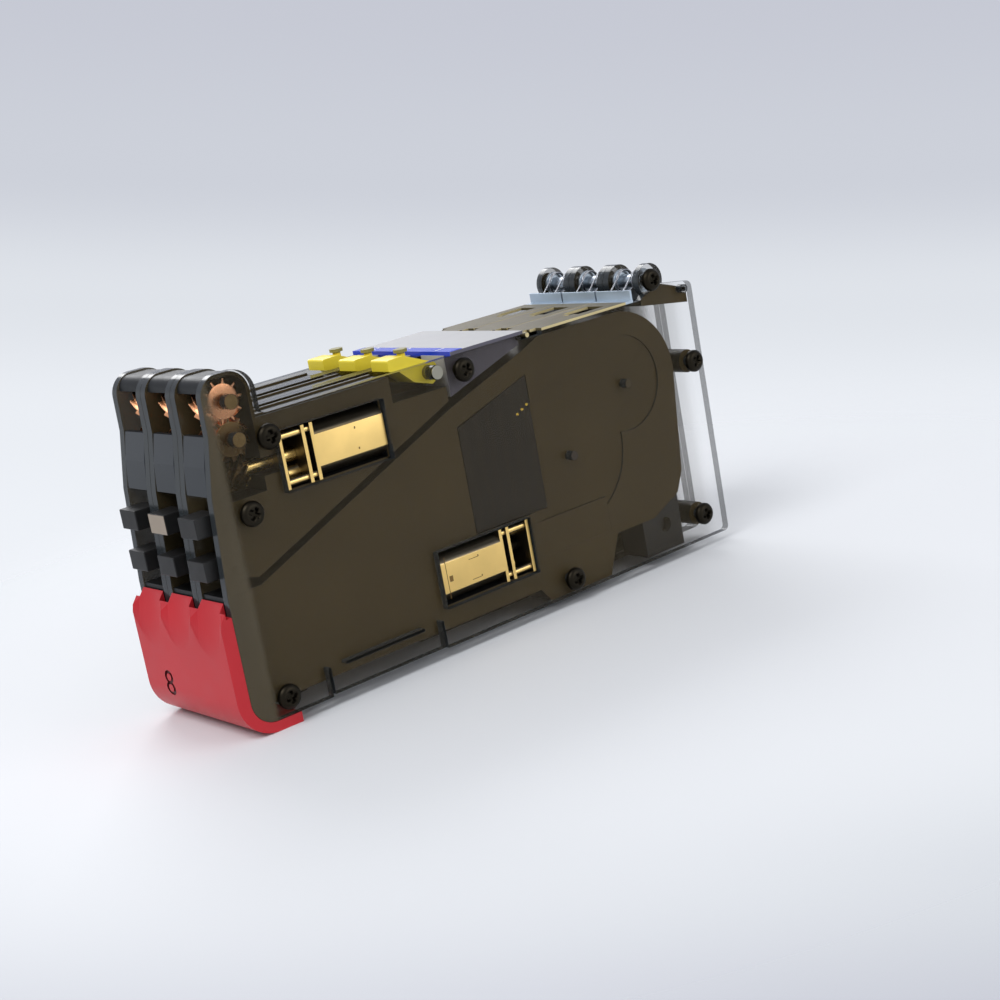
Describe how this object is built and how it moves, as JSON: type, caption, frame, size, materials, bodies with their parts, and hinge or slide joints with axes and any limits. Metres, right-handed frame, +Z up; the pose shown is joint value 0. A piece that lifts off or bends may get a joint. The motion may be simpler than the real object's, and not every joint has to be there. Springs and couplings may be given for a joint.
{
  "type": "smt tape feeder",
  "caption": "Ganged cassette for narrow component tape: smoked side plates, film peeler gears, motors, sprockets, sprung pick plates and a rounded foot.",
  "frame": {"origin": "bottom centre of the whole feeder, on the surface that it stands on", "axes": "+X towards the machine's end, +Y across the lanes, +Z up"},
  "size_m": [0.1416, 0.0388, 0.0731],
  "materials": {
    "smoked_clear": "smoked clear",
    "black_frame": "satin",
    "brass_motor": "satin",
    "copper_gear": "polished",
    "steel": "brushed",
    "yellow_lever": "satin",
    "black_button": "satin",
    "red_foot": "satin",
    "grey_cover": "satin",
    "dark_screw": "blackened",
    "board": "satin",
    "chute": "glossy"
  },
  "bodies": {
    "chassis": {"lane1_near_plate": "smoked_clear", "lane1_far_plate": "smoked_clear", "lane1_upper_frame": "black_frame", "lane1_lower_frame": "black_frame", "lane1_peel_motor": "brass_motor", "lane1_drive_motor": "brass_motor", "lane2_near_plate": "smoked_clear", "lane2_far_plate": "smoked_clear", "lane2_upper_frame": "black_frame", "lane2_lower_frame": "black_frame", "lane2_peel_motor": "brass_motor", "lane2_drive_motor": "brass_motor", "lane3_near_plate": "smoked_clear", "lane3_far_plate": "smoked_clear", "lane3_upper_frame": "black_frame", "lane3_lower_frame": "black_frame", "lane3_peel_motor": "brass_motor", "lane3_drive_motor": "brass_motor", "red_foot": "red_foot", "top_cover": "grey_cover", "film_chutes": "chute", "side_screws": "dark_screw", "standoffs": "black_frame", "ear_blocks": "black_frame", "spring_shaft": "steel", "plate_springs": "steel", "control_boards": "board", "lever_pin": "steel", "contact_blocks": "black_button"},
    "lane1_lower_peel_gear": {"lane1_lower_peel_gear": "copper_gear"},
    "lane1_upper_peel_gear": {"lane1_upper_peel_gear": "copper_gear"},
    "lane1_peel_pinion": {"lane1_peel_pinion": "copper_gear"},
    "lane1_drive_worm": {"lane1_drive_worm": "copper_gear"},
    "lane1_drive_wheel": {"lane1_drive_wheel": "black_frame"},
    "lane1_sprocket": {"lane1_sprocket": "steel"},
    "lane1_film_lever": {"lane1_film_lever": "yellow_lever"},
    "lane1_pick_plate": {"lane1_pick_plate": "steel"},
    "lane1_upper_button": {"lane1_upper_button": "black_button"},
    "lane1_lower_button": {"lane1_lower_button": "black_button"},
    "lane2_lower_peel_gear": {"lane2_lower_peel_gear": "copper_gear"},
    "lane2_upper_peel_gear": {"lane2_upper_peel_gear": "copper_gear"},
    "lane2_peel_pinion": {"lane2_peel_pinion": "copper_gear"},
    "lane2_drive_worm": {"lane2_drive_worm": "copper_gear"},
    "lane2_drive_wheel": {"lane2_drive_wheel": "black_frame"},
    "lane2_sprocket": {"lane2_sprocket": "steel"},
    "lane2_film_lever": {"lane2_film_lever": "yellow_lever"},
    "lane2_pick_plate": {"lane2_pick_plate": "steel"},
    "lane2_upper_button": {"lane2_upper_button": "black_button"},
    "lane2_lower_button": {"lane2_lower_button": "black_button"},
    "lane3_lower_peel_gear": {"lane3_lower_peel_gear": "copper_gear"},
    "lane3_upper_peel_gear": {"lane3_upper_peel_gear": "copper_gear"},
    "lane3_peel_pinion": {"lane3_peel_pinion": "copper_gear"},
    "lane3_drive_worm": {"lane3_drive_worm": "copper_gear"},
    "lane3_drive_wheel": {"lane3_drive_wheel": "black_frame"},
    "lane3_sprocket": {"lane3_sprocket": "steel"},
    "lane3_film_lever": {"lane3_film_lever": "yellow_lever"},
    "lane3_pick_plate": {"lane3_pick_plate": "steel"},
    "lane3_upper_button": {"lane3_upper_button": "black_button"},
    "lane3_lower_button": {"lane3_lower_button": "black_button"}
  },
  "joints": [
    {"name": "lane1_lower_peel_gear_turn", "type": "hinge", "parent": "chassis", "child": "lane1_lower_peel_gear", "pos_m": [-0.0577, -0.012, 0.0593], "axis": [0, 1, 0], "continuous": true},
    {"name": "lane1_upper_peel_gear_turn", "type": "hinge", "parent": "chassis", "child": "lane1_upper_peel_gear", "pos_m": [-0.0577, -0.012, 0.067], "axis": [0, 1, 0], "continuous": true},
    {"name": "lane1_peel_pinion_turn", "type": "hinge", "parent": "chassis", "child": "lane1_peel_pinion", "pos_m": [-0.0577, -0.012, 0.0523], "axis": [1, 0, 0], "continuous": true},
    {"name": "lane1_sprocket_turn", "type": "hinge", "parent": "chassis", "child": "lane1_sprocket", "pos_m": [0.04603, -0.012, 0.04485], "axis": [0, 1, 0], "continuous": true},
    {"name": "lane1_drive_wheel_turn", "type": "hinge", "parent": "chassis", "child": "lane1_drive_wheel", "pos_m": [0.0262, -0.012, 0.033], "axis": [0, 1, 0], "continuous": true},
    {"name": "lane1_drive_worm_turn", "type": "hinge", "parent": "chassis", "child": "lane1_drive_worm", "pos_m": [0.0262, -0.012, 0.0167], "axis": [1, 0, 0], "continuous": true},
    {"name": "lane1_film_lever_turn", "type": "hinge", "parent": "chassis", "child": "lane1_film_lever", "pos_m": [-0.0077, -0.012, 0.0606], "axis": [0, 1, 0], "range_deg": [0, 25], "stiffness_Nm_per_rad": 0.01, "springref_deg": -11.46},
    {"name": "lane1_pick_plate_turn", "type": "hinge", "parent": "chassis", "child": "lane1_pick_plate", "pos_m": [0.0187, -0.012, 0.0626], "axis": [0, -1, 0], "range_deg": [0, 8], "stiffness_Nm_per_rad": 0.02, "springref_deg": -11.46, "deforming": ["plate_springs"]},
    {"name": "lane1_upper_button_press", "type": "slide", "parent": "chassis", "child": "lane1_upper_button", "axis": [1, 0, 0], "range_m": [0, 0.0006], "stiffness_N_per_m": 300, "springref_m": -0.0008},
    {"name": "lane1_lower_button_press", "type": "slide", "parent": "chassis", "child": "lane1_lower_button", "axis": [1, 0, 0], "range_m": [0, 0.0006], "stiffness_N_per_m": 300, "springref_m": -0.0008},
    {"name": "lane2_lower_peel_gear_turn", "type": "hinge", "parent": "chassis", "child": "lane2_lower_peel_gear", "pos_m": [-0.0577, 0, 0.0593], "axis": [0, 1, 0], "continuous": true},
    {"name": "lane2_upper_peel_gear_turn", "type": "hinge", "parent": "chassis", "child": "lane2_upper_peel_gear", "pos_m": [-0.0577, 0, 0.067], "axis": [0, 1, 0], "continuous": true},
    {"name": "lane2_peel_pinion_turn", "type": "hinge", "parent": "chassis", "child": "lane2_peel_pinion", "pos_m": [-0.0577, 0, 0.0523], "axis": [1, 0, 0], "continuous": true},
    {"name": "lane2_sprocket_turn", "type": "hinge", "parent": "chassis", "child": "lane2_sprocket", "pos_m": [0.04603, 0, 0.04485], "axis": [0, 1, 0], "continuous": true},
    {"name": "lane2_drive_wheel_turn", "type": "hinge", "parent": "chassis", "child": "lane2_drive_wheel", "pos_m": [0.0262, 0, 0.033], "axis": [0, 1, 0], "continuous": true},
    {"name": "lane2_drive_worm_turn", "type": "hinge", "parent": "chassis", "child": "lane2_drive_worm", "pos_m": [0.0262, 0, 0.0167], "axis": [1, 0, 0], "continuous": true},
    {"name": "lane2_film_lever_turn", "type": "hinge", "parent": "chassis", "child": "lane2_film_lever", "pos_m": [-0.0077, 0, 0.0606], "axis": [0, 1, 0], "range_deg": [0, 25], "stiffness_Nm_per_rad": 0.01, "springref_deg": -11.46},
    {"name": "lane2_pick_plate_turn", "type": "hinge", "parent": "chassis", "child": "lane2_pick_plate", "pos_m": [0.0187, 0, 0.0626], "axis": [0, -1, 0], "range_deg": [0, 8], "stiffness_Nm_per_rad": 0.02, "springref_deg": -11.46, "deforming": ["plate_springs"]},
    {"name": "lane2_upper_button_press", "type": "slide", "parent": "chassis", "child": "lane2_upper_button", "axis": [1, 0, 0], "range_m": [0, 0.0006], "stiffness_N_per_m": 300, "springref_m": -0.0008},
    {"name": "lane2_lower_button_press", "type": "slide", "parent": "chassis", "child": "lane2_lower_button", "axis": [1, 0, 0], "range_m": [0, 0.0006], "stiffness_N_per_m": 300, "springref_m": -0.0008},
    {"name": "lane3_lower_peel_gear_turn", "type": "hinge", "parent": "chassis", "child": "lane3_lower_peel_gear", "pos_m": [-0.0577, 0.012, 0.0593], "axis": [0, 1, 0], "continuous": true},
    {"name": "lane3_upper_peel_gear_turn", "type": "hinge", "parent": "chassis", "child": "lane3_upper_peel_gear", "pos_m": [-0.0577, 0.012, 0.067], "axis": [0, 1, 0], "continuous": true},
    {"name": "lane3_peel_pinion_turn", "type": "hinge", "parent": "chassis", "child": "lane3_peel_pinion", "pos_m": [-0.0577, 0.012, 0.0523], "axis": [1, 0, 0], "continuous": true},
    {"name": "lane3_sprocket_turn", "type": "hinge", "parent": "chassis", "child": "lane3_sprocket", "pos_m": [0.04603, 0.012, 0.04485], "axis": [0, 1, 0], "continuous": true},
    {"name": "lane3_drive_wheel_turn", "type": "hinge", "parent": "chassis", "child": "lane3_drive_wheel", "pos_m": [0.0262, 0.012, 0.033], "axis": [0, 1, 0], "continuous": true},
    {"name": "lane3_drive_worm_turn", "type": "hinge", "parent": "chassis", "child": "lane3_drive_worm", "pos_m": [0.0262, 0.012, 0.0167], "axis": [1, 0, 0], "continuous": true},
    {"name": "lane3_film_lever_turn", "type": "hinge", "parent": "chassis", "child": "lane3_film_lever", "pos_m": [-0.0077, 0.012, 0.0606], "axis": [0, 1, 0], "range_deg": [0, 25], "stiffness_Nm_per_rad": 0.01, "springref_deg": -11.46},
    {"name": "lane3_pick_plate_turn", "type": "hinge", "parent": "chassis", "child": "lane3_pick_plate", "pos_m": [0.0187, 0.012, 0.0626], "axis": [0, -1, 0], "range_deg": [0, 8], "stiffness_Nm_per_rad": 0.02, "springref_deg": -11.46, "deforming": ["plate_springs"]},
    {"name": "lane3_upper_button_press", "type": "slide", "parent": "chassis", "child": "lane3_upper_button", "axis": [1, 0, 0], "range_m": [0, 0.0006], "stiffness_N_per_m": 300, "springref_m": -0.0008},
    {"name": "lane3_lower_button_press", "type": "slide", "parent": "chassis", "child": "lane3_lower_button", "axis": [1, 0, 0], "range_m": [0, 0.0006], "stiffness_N_per_m": 300, "springref_m": -0.0008}
  ],
  "couplings": [
    {"joint": "lane1_upper_peel_gear_turn", "follows": "lane1_lower_peel_gear_turn", "ratio": -1},
    {"joint": "lane1_peel_pinion_turn", "follows": "lane1_lower_peel_gear_turn", "ratio": -1.25},
    {"joint": "lane1_drive_wheel_turn", "follows": "lane1_sprocket_turn", "ratio": -0.73684},
    {"joint": "lane1_drive_worm_turn", "follows": "lane1_sprocket_turn", "ratio": -28},
    {"joint": "lane2_upper_peel_gear_turn", "follows": "lane2_lower_peel_gear_turn", "ratio": -1},
    {"joint": "lane2_peel_pinion_turn", "follows": "lane2_lower_peel_gear_turn", "ratio": -1.25},
    {"joint": "lane2_drive_wheel_turn", "follows": "lane2_sprocket_turn", "ratio": -0.73684},
    {"joint": "lane2_drive_worm_turn", "follows": "lane2_sprocket_turn", "ratio": -28},
    {"joint": "lane3_upper_peel_gear_turn", "follows": "lane3_lower_peel_gear_turn", "ratio": -1},
    {"joint": "lane3_peel_pinion_turn", "follows": "lane3_lower_peel_gear_turn", "ratio": -1.25},
    {"joint": "lane3_drive_wheel_turn", "follows": "lane3_sprocket_turn", "ratio": -0.73684},
    {"joint": "lane3_drive_worm_turn", "follows": "lane3_sprocket_turn", "ratio": -28}
  ]
}
